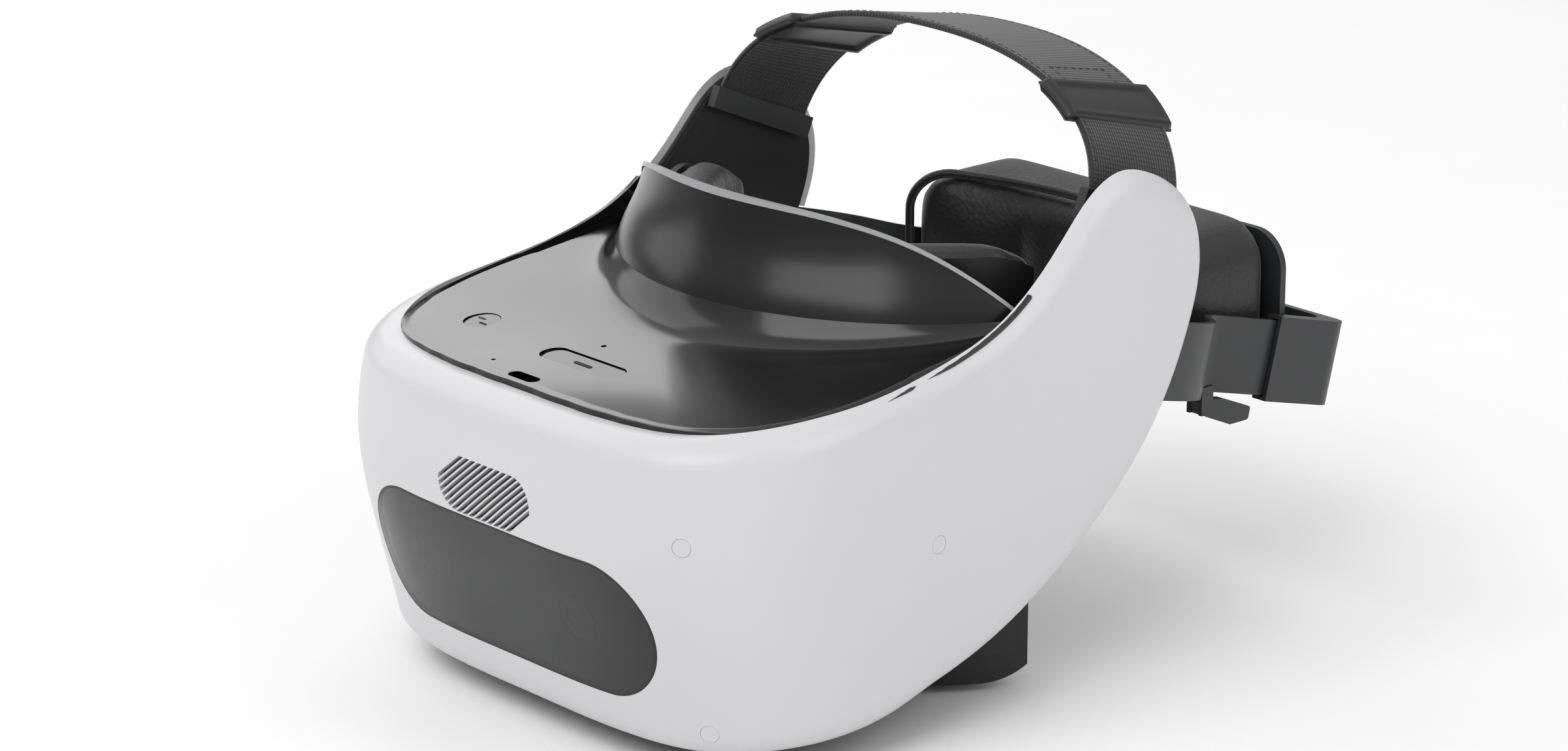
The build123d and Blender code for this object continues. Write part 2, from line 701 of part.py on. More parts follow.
housing_start = 22.0
with BuildPart() as rear_housing:
    with BuildSketch(band_plane.offset(-rear_height / 2)):
        with Locations((0, (housing_start + rear_length) / 2)):
            Rectangle(2 * rear_half_width, rear_length - housing_start)
        with Locations((0, (housing_start + rear_length) / 2 - rear_wall)):
            Rectangle(2 * (rear_half_width - rear_wall), rear_length - housing_start, mode=Mode.SUBTRACT)
        with Locations((0, rear_length - rear_wall / 2 - 1)):
            Rectangle(34, rear_wall + 2)
    extrude(amount=rear_height)
    fillet(
        rear_housing.edges().filter_by(Axis((0, 0, 0), band_plane.z_dir)).filter_by(
            lambda edge: edge.center().Y > 265 and abs(edge.center().X) > 60
        ), 8.0
    )
    for side in (-1, 1):
        with BuildSketch(band_plane.offset(-band_height / 2 - 0.4)):
            with Locations((side * 67.2, housing_start + 11.8)):
                Rectangle(band_thickness + 0.8, 24.4)
        extrude(amount=band_height + 0.8, mode=Mode.SUBTRACT)
    with BuildSketch(Plane(origin=band_plane.from_local_coords((0, rear_length - 20, 0)), x_dir=(1, 0, 0),
                           z_dir=band_plane.y_dir)):
        Circle(dial_shaft_radius + running_gap)
    extrude(amount=30, mode=Mode.SUBTRACT)
dial_plane = Plane(
    origin=band_plane.from_local_coords((0, rear_length, 0)), x_dir=(1, 0, 0), z_dir=band_plane.y_dir
)
with BuildPart() as tension_dial:
    with BuildSketch(dial_plane.offset(0.5)):
        Circle(dial_radius)
        with PolarLocations(dial_radius, 30):
            Circle(0.7, mode=Mode.SUBTRACT)
    extrude(amount=dial_thickness)
    with BuildSketch(dial_plane.offset(-9.8)):
        Circle(dial_shaft_radius)
    extrude(amount=10.4)
with BuildPart() as rear_pad_shell:
    with BuildSketch(Plane(origin=(0, 259.4, 92), x_dir=(1, 0, 0), z_dir=(0, 1, 0))):
        RectangleRounded(2 * (rear_half_width - rear_wall), 52, 12)
    extrude(amount=2.4)
with BuildPart() as rear_cushion:
    with BuildSketch(Plane.XY.offset(70)):
        with BuildLine():
            ThreePointArc((-63, 213), (0, 232), (63, 213))
            Line((63, 213), (63, 259.2))
            Line((63, 259.2), (-63, 259.2))
            Line((-63, 259.2), (-63, 213))
        make_face()
    extrude(amount=54)
    fillet(rear_cushion.edges().filter_by(Axis.Y), 14)
    fillet(rear_cushion.edges().filter_by(lambda edge: edge.center().Y < 250), 5)

# --- release tabs under the bands, each on a pin in a small clip
tab_plane = Plane(
    origin=band_plane.from_local_coords((73.8, -12, -band_height / 2 - 3.2)), x_dir=(0, 1, 0),
    z_dir=(1, 0, 0),
)
with BuildPart() as tab_clip_left:
    with BuildSketch(tab_plane.offset(-3.2)):
        with Locations((0, 2.0)):
            Rectangle(5, 9)
    extrude(amount=1.4)
    with BuildSketch(tab_plane.offset(1.8)):
        with Locations((0, 2.0)):
            Rectangle(5, 9)
    extrude(amount=1.4)
    with BuildSketch(tab_plane.offset(-3.2)):
        Circle(1)
    extrude(amount=6.4)
    add(band_path(0.0, 30), mode=Mode.SUBTRACT)
with BuildPart() as tab_clip_right:
    mirror(tab_clip_left.part, about=Plane.YZ)
with BuildPart() as release_tab_left:
    with BuildSketch(tab_plane.offset(-1.6)):
        with BuildLine():
            FilletPolyline((-2.4, 1.6), (-2.0, -2.4), (12, -8.5), (20, -8.5), (21, -4.5), (9, 0.5), (2, 1.6),
                           radius=1.0)
            Line((2, 1.6), (-2.4, 1.6))
        make_face()
        Circle(1 + running_gap, mode=Mode.SUBTRACT)
    extrude(amount=3.2)
with BuildPart() as release_tab_right:
    mirror(release_tab_left.part, about=Plane.YZ)

# --- strap over the crown, lofted through sections that stand square to its arch
strap_steps = 12


def strap_section(turn):
    """The strap's cross-section at one angle round the arch, from the left arm to the right one."""
    cosine, sine = math.cos(turn), math.sin(turn)
    power = 2 / 2.3
    x = strap_half_span * math.copysign(abs(cosine) ** power, cosine)
    rise = sine**power
    z = strap_end_z + (strap_top_z - 6 - strap_end_z) * rise
    y = 171.0 + 15.5 * rise
    lean = math.radians(23.0 - 14.0 * rise)
    across = Vector(0, math.cos(lean), -math.sin(lean))
    slope = 2.3 - 1
    normal = Vector(
        math.copysign((abs(x) / strap_half_span) ** slope / strap_half_span, x), 0,
        (rise**slope) / (strap_top_z - strap_end_z) + 1e-6,
    )
    out = (normal - across * normal.dot(across)).normalized()
    return Plane(origin=(x, y, z), x_dir=across, z_dir=out.cross(across))


with BuildPart() as top_strap:
    for step in range(strap_steps + 1):
        with BuildSketch(strap_section(math.pi * step / strap_steps)):
            Rectangle(strap_width, strap_thickness)
    loft()


buckle_turn = 43.0
with BuildPart() as strap_buckle_left:
    with BuildSketch(strap_section(math.radians(buckle_turn)).offset(-10)):
        RectangleRounded(strap_width + 7, 8.2, 2)
    extrude(amount=20)
    with BuildSketch(strap_section(math.radians(buckle_turn)).offset(-11)):
        Rectangle(strap_width + 1, 5.8)
    extrude(amount=22, mode=Mode.SUBTRACT)
with BuildPart() as strap_buckle_right:
    mirror(strap_buckle_left.part, about=Plane.YZ)
with BuildPart() as strap_anchor_left:
    with BuildSketch(strap_section(0).offset(0)):
        with Locations((0, 0.5)):
            Rectangle(strap_width + 5, 3.2)
    extrude(amount=7)
    with BuildSketch(strap_section(0).offset(-1)):
        with Locations((0, -0.3)):
            Rectangle(strap_width + 1.2, 3.6)
    extrude(amount=9, mode=Mode.SUBTRACT)
with BuildPart() as strap_anchor_right:
    mirror(strap_anchor_left.part, about=Plane.YZ)

# The headset is drawn from its front window; here it is seated on its own footprint, so that the origin lies at
# the middle of the box around it, level with the lowest point.
seat = Location((0, -window_to_middle, -pads_to_floor))
for piece in (
    outer_shell, sensor_plugs, top_deck, brow_shroud, shroud_rim, arm_liner_left, arm_liner_right,
    bottom_cover, face_wall, face_frame, face_cushion, nose_flap, visor_window, visor_gasket,
    camera_bracket, camera_left, camera_right, camera_glass_left, camera_glass_right, grille_screen,
    fan_housing, fan_rotor, heat_sink, main_board, battery_pack, optics_plate, guide_rods, rod_holders,
    lens_barrel_left, lens_barrel_right, lens_left, lens_right, display_left, display_right, ipd_wheel,
    ipd_bearing, power_button, volume_rocker, rocker_cradle, usb_shell, usb_tongue, status_led,
    mic_mesh, headphone_jack, side_band_left, side_band_right, rear_housing, tension_dial,
    rear_pad_shell, rear_cushion, tab_clip_left, tab_clip_right, release_tab_left, release_tab_right,
    top_strap, strap_buckle_left, strap_buckle_right, strap_anchor_left, strap_anchor_right,
):
    piece.part.move(seat)

outer_shell.part.label = "outer_shell"
export_step(outer_shell.part, "parts/outer_shell.step")
sensor_plugs.part.label = "sensor_plugs"
export_step(sensor_plugs.part, "parts/sensor_plugs.step")
top_deck.part.label = "top_deck"
export_step(top_deck.part, "parts/top_deck.step")
brow_shroud.part.label = "brow_shroud"
export_step(brow_shroud.part, "parts/brow_shroud.step")
shroud_rim.part.label = "shroud_rim"
export_step(shroud_rim.part, "parts/shroud_rim.step")
arm_liner_left.part.label = "arm_liner_left"
export_step(arm_liner_left.part, "parts/arm_liner_left.step")
arm_liner_right.part.label = "arm_liner_right"
export_step(arm_liner_right.part, "parts/arm_liner_right.step")
bottom_cover.part.label = "bottom_cover"
export_step(bottom_cover.part, "parts/bottom_cover.step")
face_wall.part.label = "face_wall"
export_step(face_wall.part, "parts/face_wall.step")
face_frame.part.label = "face_frame"
export_step(face_frame.part, "parts/face_frame.step")
face_cushion.part.label = "face_cushion"
export_step(face_cushion.part, "parts/face_cushion.step")
nose_flap.part.label = "nose_flap"
export_step(nose_flap.part, "parts/nose_flap.step")
visor_window.part.label = "visor_window"
export_step(visor_window.part, "parts/visor_window.step")
visor_gasket.part.label = "visor_gasket"
export_step(visor_gasket.part, "parts/visor_gasket.step")
camera_bracket.part.label = "camera_bracket"
export_step(camera_bracket.part, "parts/camera_bracket.step")
camera_left.part.label = "camera_left"
export_step(camera_left.part, "parts/camera_left.step")
camera_right.part.label = "camera_right"
export_step(camera_right.part, "parts/camera_right.step")
camera_glass_left.part.label = "camera_glass_left"
export_step(camera_glass_left.part, "parts/camera_glass_left.step")
camera_glass_right.part.label = "camera_glass_right"
export_step(camera_glass_right.part, "parts/camera_glass_right.step")
grille_screen.part.label = "grille_screen"
export_step(grille_screen.part, "parts/grille_screen.step")
fan_housing.part.label = "fan_housing"
export_step(fan_housing.part, "parts/fan_housing.step")
fan_rotor.part.label = "fan_rotor"
export_step(fan_rotor.part, "parts/fan_rotor.step")
heat_sink.part.label = "heat_sink"
export_step(heat_sink.part, "parts/heat_sink.step")
main_board.part.label = "main_board"
export_step(main_board.part, "parts/main_board.step")
battery_pack.part.label = "battery_pack"
export_step(battery_pack.part, "parts/battery_pack.step")
optics_plate.part.label = "optics_plate"
export_step(optics_plate.part, "parts/optics_plate.step")
guide_rods.part.label = "guide_rods"
export_step(guide_rods.part, "parts/guide_rods.step")
rod_holders.part.label = "rod_holders"
export_step(rod_holders.part, "parts/rod_holders.step")
lens_barrel_left.part.label = "lens_barrel_left"
export_step(lens_barrel_left.part, "parts/lens_barrel_left.step")
lens_barrel_right.part.label = "lens_barrel_right"
export_step(lens_barrel_right.part, "parts/lens_barrel_right.step")
lens_left.part.label = "lens_left"
export_step(lens_left.part, "parts/lens_left.step")
lens_right.part.label = "lens_right"
export_step(lens_right.part, "parts/lens_right.step")
display_left.part.label = "display_left"
export_step(display_left.part, "parts/display_left.step")
display_right.part.label = "display_right"
export_step(display_right.part, "parts/display_right.step")
ipd_wheel.part.label = "ipd_wheel"
export_step(ipd_wheel.part, "parts/ipd_wheel.step")
ipd_bearing.part.label = "ipd_bearing"
export_step(ipd_bearing.part, "parts/ipd_bearing.step")
power_button.part.label = "power_button"
export_step(power_button.part, "parts/power_button.step")
volume_rocker.part.label = "volume_rocker"
export_step(volume_rocker.part, "parts/volume_rocker.step")
rocker_cradle.part.label = "rocker_cradle"
export_step(rocker_cradle.part, "parts/rocker_cradle.step")
usb_shell.part.label = "usb_shell"
export_step(usb_shell.part, "parts/usb_shell.step")
usb_tongue.part.label = "usb_tongue"
export_step(usb_tongue.part, "parts/usb_tongue.step")
status_led.part.label = "status_led"
export_step(status_led.part, "parts/status_led.step")
mic_mesh.part.label = "mic_mesh"
export_step(mic_mesh.part, "parts/mic_mesh.step")
headphone_jack.part.label = "headphone_jack"
export_step(headphone_jack.part, "parts/headphone_jack.step")
side_band_left.part.label = "side_band_left"
export_step(side_band_left.part, "parts/side_band_left.step")
side_band_right.part.label = "side_band_right"
export_step(side_band_right.part, "parts/side_band_right.step")
rear_housing.part.label = "rear_housing"
export_step(rear_housing.part, "parts/rear_housing.step")
tension_dial.part.label = "tension_dial"
export_step(tension_dial.part, "parts/tension_dial.step")
rear_pad_shell.part.label = "rear_pad_shell"
export_step(rear_pad_shell.part, "parts/rear_pad_shell.step")
rear_cushion.part.label = "rear_cushion"
export_step(rear_cushion.part, "parts/rear_cushion.step")
tab_clip_left.part.label = "tab_clip_left"
export_step(tab_clip_left.part, "parts/tab_clip_left.step")
tab_clip_right.part.label = "tab_clip_right"
export_step(tab_clip_right.part, "parts/tab_clip_right.step")
release_tab_left.part.label = "release_tab_left"
export_step(release_tab_left.part, "parts/release_tab_left.step")
release_tab_right.part.label = "release_tab_right"
export_step(release_tab_right.part, "parts/release_tab_right.step")
top_strap.part.label = "top_strap"
export_step(top_strap.part, "parts/top_strap.step")
strap_buckle_left.part.label = "strap_buckle_left"
export_step(strap_buckle_left.part, "parts/strap_buckle_left.step")
strap_buckle_right.part.label = "strap_buckle_right"
export_step(strap_buckle_right.part, "parts/strap_buckle_right.step")
strap_anchor_left.part.label = "strap_anchor_left"
export_step(strap_anchor_left.part, "parts/strap_anchor_left.step")
strap_anchor_right.part.label = "strap_anchor_right"
export_step(strap_anchor_right.part, "parts/strap_anchor_right.step")
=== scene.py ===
import bmesh
import bpy
import math
import numpy as np
from mathutils import Matrix, Vector
from mathutils.bvhtree import BVHTree


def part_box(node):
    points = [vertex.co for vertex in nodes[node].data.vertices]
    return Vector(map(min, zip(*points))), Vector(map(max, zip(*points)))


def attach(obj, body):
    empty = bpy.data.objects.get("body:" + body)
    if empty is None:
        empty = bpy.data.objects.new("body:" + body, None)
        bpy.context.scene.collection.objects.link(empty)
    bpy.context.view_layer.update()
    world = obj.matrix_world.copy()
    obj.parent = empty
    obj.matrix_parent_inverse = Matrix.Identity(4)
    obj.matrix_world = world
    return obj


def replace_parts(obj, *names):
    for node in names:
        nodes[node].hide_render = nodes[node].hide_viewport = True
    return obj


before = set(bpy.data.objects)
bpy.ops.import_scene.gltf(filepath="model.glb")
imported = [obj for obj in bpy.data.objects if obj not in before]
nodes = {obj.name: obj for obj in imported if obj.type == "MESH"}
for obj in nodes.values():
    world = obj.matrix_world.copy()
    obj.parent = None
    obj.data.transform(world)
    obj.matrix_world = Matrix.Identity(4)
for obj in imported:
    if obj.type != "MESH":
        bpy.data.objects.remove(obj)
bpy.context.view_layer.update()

scene = bpy.context.scene

# Studio: a long lens from the wearer's front left, white paper underneath, broad soft lights on each side
# and a diffusing panel on the far side, which the gloss black deck mirrors.
camera_data = bpy.data.cameras.new("studio_camera")
camera_data.lens = 107.9
camera_data.sensor_width = 36.0
camera_data.clip_end = 20.0
camera = bpy.data.objects.new("studio_camera", camera_data)
scene.collection.objects.link(camera)
camera_place = Vector((1.02256, -0.93305, 0.51022))
ahead = Vector((-0.71808, 0.62926, -0.29731)).normalized()
sideways = Vector((0.65895, 0.75219, 0.00048))
upwards = sideways.cross(ahead).normalized()
camera.matrix_world = Matrix.Translation(camera_place) @ Matrix(
    (ahead.cross(upwards), upwards, -ahead)).transposed().to_4x4()
scene.camera = camera
scene.view_settings.view_transform = "Standard"


def linear(code):
    """An sRGB hex colour as linear red, green, blue and alpha."""
    parts = [int(code[i:i + 2], 16) / 255 for i in (1, 3, 5)]
    return tuple(p / 12.92 if p <= 0.04045 else ((p + 0.055) / 1.055) ** 2.4 for p in parts) + (1.0,)


def add_node(tree, kind, links=(), inputs=(), **settings):
    """Adds a node to a tree, sets its properties and inputs, and links sources to its sockets."""
    made = tree.nodes.new(kind)
    for name, value in settings.items():
        setattr(made, name, value)
    for socket, value in dict(inputs).items():
        made.inputs[socket].default_value = value
    for socket, source in links:
        tree.links.new(source, made.inputs[socket])
    return made


def soft_light(name, place, aim, width, height, watts):
    """A rectangular soft light at a place, facing a point."""
    data = bpy.data.lights.new(name, "AREA")
    data.shape = "RECTANGLE"
    data.size, data.size_y = width, height
    data.energy = watts
    light = bpy.data.objects.new(name, data)
    scene.collection.objects.link(light)
    light.location = place
    light.rotation_mode = "QUATERNION"
    light.rotation_quaternion = (Vector(aim) - Vector(place)).to_track_quat("-Z", "Y")


world = bpy.data.worlds.new("studio_world")
scene.world = world
world.use_nodes = True
sky = world.node_tree
direction = add_node(sky, "ShaderNodeTexCoord")
split = add_node(sky, "ShaderNodeSeparateXYZ", [(0, direction.outputs["Generated"])])
height = add_node(sky, "ShaderNodeMapRange", [("Value", split.outputs["Z"])],
                  {"From Min": -0.1, "From Max": 0.9, "To Min": 0.15, "To Max": 0.85})
sky.links.new(height.outputs["Result"], sky.nodes["Background"].inputs["Strength"])
sky.nodes["Background"].inputs["Color"].default_value = linear("#ffffff")
headset_middle, deck_middle = (0, -0.05, 0.08), (0.0, -0.12, 0.11)
soft_light("key_light", (0.35, -1.85, 1.9), headset_middle, 2.2, 1.6, 25.0)
soft_light("left_light", (-1.9, -0.65, 1.1), headset_middle, 1.6, 1.6, 8.0)
soft_light("right_light", (2.0, 0.55, 1.3), headset_middle, 1.6, 1.6, 12.0)
soft_light("deck_panel", (-1.85, 0.75, 1.08), deck_middle, 0.95, 0.75, 4.0)

floor_half = 6.0
floor_mesh = bpy.data.meshes.new("floor")
floor_mesh.from_pydata([(x * floor_half, y * floor_half, 0) for x, y in ((-1, -1), (1, -1), (1, 1), (-1, 1))], [],
                       [(0, 1, 2, 3)])
floor = bpy.data.objects.new("floor", floor_mesh)
scene.collection.objects.link(floor)


def new_material(name, code, roughness, metallic=0.0, coat=0.0, coat_roughness=0.03, ior=1.5):
    """A material with constant values on its Principled shader; patterns are linked to it afterwards."""
    material = bpy.data.materials.new(name)
    material.use_nodes = True
    shader = material.node_tree.nodes["Principled BSDF"]
    shader.inputs["Base Color"].default_value = linear(code)
    shader.inputs["Roughness"].default_value = roughness
    shader.inputs["Metallic"].default_value = metallic
    shader.inputs["Coat Weight"].default_value = coat
    shader.inputs["Coat Roughness"].default_value = coat_roughness
    if not metallic:
        shader.inputs["IOR"].default_value = ior
    return material


def grain(material, size_mm, depth_mm, colour_shift=0.04, rough_shift=0.04, cells=False):
    """Surface grain of a real size as a bump, with broad, faint changes of colour and roughness."""
    patches_per_metre = 22.0
    tree = material.node_tree
    shader = tree.nodes["Principled BSDF"]
    place = add_node(tree, "ShaderNodeTexCoord")
    if cells:
        fine = add_node(tree, "ShaderNodeTexVoronoi", [("Vector", place.outputs["Object"])],
                        {"Scale": 1000.0 / size_mm}, feature="SMOOTH_F1")
        bump = add_node(tree, "ShaderNodeBump", [("Height", fine.outputs["Distance"])],
                        {"Strength": 1.0, "Distance": depth_mm / 1000.0})
    else:
        fine = add_node(tree, "ShaderNodeTexNoise", [("Vector", place.outputs["Object"])],
                        {"Scale": 1000.0 / size_mm, "Detail": 2.0})
        bump = add_node(tree, "ShaderNodeBump", [("Height", fine.outputs["Fac"])],
                        {"Strength": 1.0, "Distance": depth_mm / 1000.0})
    tree.links.new(bump.outputs["Normal"], shader.inputs["Normal"])
    broad = add_node(tree, "ShaderNodeTexNoise", [("Vector", place.outputs["Object"])],
                     {"Scale": patches_per_metre, "Detail": 2.0})
    base = tuple(shader.inputs["Base Color"].default_value)
    tint = add_node(tree, "ShaderNodeMix", [(0, broad.outputs["Fac"])], data_type="RGBA")
    tint.inputs[6].default_value = tuple(c * (1 - colour_shift) for c in base[:3]) + (1.0,)
    tint.inputs[7].default_value = tuple(min(1.0, c * (1 + colour_shift)) for c in base[:3]) + (1.0,)
    tree.links.new(tint.outputs[2], shader.inputs["Base Color"])
    rough = shader.inputs["Roughness"].default_value
    spread = add_node(tree, "ShaderNodeMapRange", [("Value", broad.outputs["Fac"])],
                      {"To Min": max(0.02, rough - rough_shift), "To Max": min(1.0, rough + rough_shift)})
    tree.links.new(spread.outputs["Result"], shader.inputs["Roughness"])
    return material


# Matt paper: plain and pale, with no gloss under the object.
white_paper = grain(new_material("matt_white_paper", "#fbfbfb", 0.95), 1.2, 0.02, 0.01, 0.02)
floor.data.materials.append(white_paper)


def dress(material, *names):
    """Gives CAD nodes a finished material in their own slots."""
    for name in names:
        slots = nodes[name].material_slots
        if not len(slots):
            nodes[name].data.materials.append(material)
        for one in slots:
            one.material = material


# Outer shell: one C-shaped injection moulding in white ABS, with a folded-in lip round the deck. The round flush
# covers over its sensors are the same plastic. Its pearl lacquer gives a soft satin sheen with no sharp reflections.
pearl_white_abs = grain(
    new_material("pearl_lacquered_abs", "#d2d2d4", 0.42, coat=0.3, coat_roughness=0.28), 0.5, 0.004, 0.015)
dress(pearl_white_abs, "outer_shell", "sensor_plugs")

# The pieces below are drawn in mm from the front window's face and the cheek pads' lower level. This move seats
# them on the footprint, as the CAD parts are.
seat = Vector((0, -146.69, -1.0))


def finished(name, mesh, material, body, smooth=True, seated=False):
    """Turns a mesh into a piece at the origin that rides on a body, with its faces outwards."""
    work = bmesh.new()
    work.from_mesh(mesh)
    if not seated:
        bmesh.ops.translate(work, verts=work.verts, vec=seat / 1000)
    bmesh.ops.recalc_face_normals(work, faces=work.faces)
    work.to_mesh(mesh)
    work.free()
    mesh.name = name
    mesh.materials.clear()
    mesh.materials.append(material)
    mesh.shade_smooth() if smooth else mesh.shade_flat()
    piece = bpy.data.objects.new(name, mesh)
    scene.collection.objects.link(piece)
    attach(piece, body)
    return piece


def evaluated(piece):
    """The mesh that a piece has with its modifiers applied."""
    bpy.context.view_layer.update()
    graph = bpy.context.evaluated_depsgraph_get()
    return bpy.data.meshes.new_from_object(piece.evaluated_get(graph))


def scratch(mesh):
    """A temporary object for a mesh while modifiers work on it."""
    holder = bpy.data.objects.new("scratch", mesh)
    scene.collection.objects.link(holder)
    return holder


def prism(points, low, high, origin, across, along):
    """A closed bar: a flat outline in mm on a plane at origin, drawn from low to high along its normal."""
    normal = across.cross(along)
    mesh = bpy.data.meshes.new("prism")
    count = len(points)
    ends = [origin + across * x + along * y + normal * z for z in (low, high) for x, y in points]
    walls = [(i, (i + 1) % count, count + (i + 1) % count, count + i) for i in range(count)]
    mesh.from_pydata([end / 1000 for end in ends], [], walls + [tuple(range(count)), tuple(range(count, 2 * count))])
    work = bmesh.new()
    work.from_mesh(mesh)
    bmesh.ops.recalc_face_normals(work, faces=work.faces)
    work.to_mesh(mesh)
    work.free()
    return mesh


def oval(length, height, steps=40):
    """A round-ended outline, as long and as high as given."""
    half = length / 2 - height / 2
    outline = []
    for i in range(steps):
        turn = 2 * math.pi * (i + 0.5) / steps
        outline.append((math.copysign(half, math.cos(turn)) + height / 2 * math.cos(turn),
                        height / 2 * math.sin(turn)))
    return outline


# Top deck: gloss black polycarbonate, snapped into the shell's lip. It runs flat to the wearer's forehead, rises
# into the round hump, and rolls down into a narrow gutter along the lip.
deck_slope = 0.137
power_x, power_y, power_z = -54.0, 36.6, 107.1
head_y = 165.0
seam_radius = 93.6


def flat_height(y):
    """The flat deck's height in mm: it climbs towards the forehead from the power key."""
    return power_z + deck_slope * (y - power_y)


# The lip's crest, as heights at some places along the shell's side, in mm.
lip_line = np.polyfit([44, 48, 69, 90, 104, 115, 128], [109.1, 109.7, 112.6, 116.5, 120.2, 124.3, 133.0], 4)


def lip_height(y):
    """The height of the shell's inner lip in mm: the shell's edge is rounded, so the lip is lower at the sides."""
    edge = flat_height(y) + 1.0 if y < 46 else float(np.polyval(lip_line, y))
    return edge - 0.95 * min(1.0, max(0.0, (y - 15) / 25))


shell_tree = BVHTree.FromPolygons(
    [vertex.co for vertex in nodes["outer_shell"].data.vertices],
    [tuple(face.vertices) for face in nodes["outer_shell"].data.polygons])


def flare_height(radius):
    """The hump's flank in mm: steep at the joint with the brow shroud, easing out to nothing on the deck."""
    flare_foot, flare_rise, flare_width = 106.0, 15.0, 7.5
    return flare_foot + flare_rise * math.exp((seam_radius - radius) / flare_width)


def blended(a, b, softness):
    """The higher of two heights, eased into each other where they cross."""
    level = 110
    return softness * math.log(math.exp((a - level) / softness) + math.exp((b - level) / softness)) + level


def lip_reach(turn):
    """How far from the head's axis the shell's lip is at one angle, in mm."""
    outwards = Vector((math.sin(turn), -math.cos(turn), 0))
    best = (99.0, 150.0)
    for guess in range(94, 178, 2):
        level = lip_height(head_y - guess * math.cos(turn))
        for drop in (0.5, 1.0, 1.5):
            place, _, _, distance = shell_tree.ray_cast(
                (Vector((0, head_y, level - drop)) + seat) / 1000, outwards)
            if place:
                best = min(best, (abs(distance * 1000 - guess), distance * 1000))
    return best[1]


lip_turns = [math.radians(turn) for turn in range(-68, 69, 2)]
lip_reaches = [lip_reach(turn) for turn in lip_turns]
columns, rows = 281, 90
deck_half_turn, lip_gap, arm_half_width = 66.0, 0.3, 89.2
side_gutter, front_gutter = (5.2, 3.0), (2.8, 1.3)
lap = 0.9
grid = []
for i in range(columns):
    turn = math.radians(-deck_half_turn + 2 * deck_half_turn * i / (columns - 1))
    reach = float(np.interp(turn, lip_turns, lip_reaches)) - lip_gap
    if abs(turn) > 0.8:
        reach = min(reach, arm_half_width / math.sin(abs(turn)))
    start = min(seam_radius, reach - 0.6)
    front = min(1.0, max(0.0, (math.cos(turn) - 0.80) / 0.12))
    gutter_width, gutter_depth = [beside + (fore - beside) * front for beside, fore in zip(side_gutter, front_gutter)]
    for j in range(rows):
        along = j / (rows - 1)
        along = 0.5 * along ** 1.5 + 0.5 * (1 - (1 - along) ** 2.2)
        radius = start + (reach - start) * along
        inwards = reach - radius
        x, y = radius * math.sin(turn), head_y - radius * math.cos(turn)
        roll = min(1.0, inwards / gutter_width)
        z = flat_height(y) - gutter_depth * (1 - roll * roll * (3 - 2 * roll))
        z = blended(z, flare_height(radius), 1.5)
        if inwards < lap:
            z += (max(z, lip_height(y) - 0.5) - z) * (1 - inwards / lap) ** 0.7
        grid.append(Vector((x, y, z)) / 1000)
deck_mesh = bpy.data.meshes.new("deck_skin")
deck_mesh.from_pydata(grid, [], [
    (i * rows + j, i * rows + j + 1, (i + 1) * rows + j + 1, (i + 1) * rows + j)
    for i in range(columns - 1) for j in range(rows - 1)])
deck_holder = scratch(deck_mesh)
work = bmesh.new()
work.from_mesh(deck_mesh)
bmesh.ops.recalc_face_normals(work, faces=work.faces)
if sum(face.normal.z for face in work.faces) < 0:
    bmesh.ops.reverse_faces(work, faces=work.faces)
work.to_mesh(deck_mesh)
work.free()
wall = deck_holder.modifiers.new("wall", "SOLIDIFY")
wall.thickness = 0.0022
wall.offset = -1.0
deck_across = Vector((1, 0, 0))
deck_along = Vector((0, 1, deck_slope)).normalized()


def on_deck(x, y):
    """A point on the flat deck in mm."""
    return Vector((x, y, flat_height(y)))


power_place, rocker_place = on_deck(power_x, power_y), on_deck(-0.8, 32.5)
usb_place, led_place, mic_place = on_deck(-4.0, 13.5), on_deck(-23.0, 17.0), on_deck(-6.5, 45.0)
cutters = []
for place, outline in ((power_place, oval(11.6, 11.6, 48)), (rocker_place, oval(35.2, 9.4, 64)),
                       (usb_place, oval(12.4, 4.6, 40)), (led_place, oval(1.5, 1.5, 12)),
                       (mic_place, oval(1.8, 1.8, 16))):
    cutter = scratch(prism(outline, -8, 6, place, deck_across, deck_along))
    cutters.append(cutter)
    hole = deck_holder.modifiers.new("hole", "BOOLEAN")
    hole.object = cutter
    hole.operation = "DIFFERENCE"
    hole.solver = "EXACT"
# Polished polycarbonate: near black, with soft-edged reflections.
gloss_black_pc = grain(
    new_material("gloss_black_polycarbonate", "#090909", 0.17, coat=0.25, coat_roughness=0.10), 0.8, 0.0015)
deck = finished("deck_skin", evaluated(deck_holder), gloss_black_pc, "front")
deck.data.set_sharp_from_angle(angle=math.radians(42))
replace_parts(deck, "top_deck")
for cutter in cutters + [deck_holder]:
    bpy.data.objects.remove(cutter)

# Brow shroud: a leaning polycarbonate wall that stands on the hump at a fine joint. Its top edge is a separate strip
# coloured light grey, a painted highlight standing in for the light that the edge catches. Both have a finely etched
# mould surface: the wall's highlights are broader than the deck's.
satin_pc = grain(new_material("satin_black_polycarbonate", "#0c0c0d", 0.24, coat=0.1, coat_roughness=0.2),
                 0.8, 0.002)
dress(satin_pc, "brow_shroud")
# The rim strip's light grey is a painted highlight along the shroud's top edge, not a colour of the plastic.
painted_highlight_rim = grain(new_material("painted_highlight_grey_abs", "#a2a3a5", 0.32), 0.5, 0.003)
dress(painted_highlight_rim, "shroud_rim")

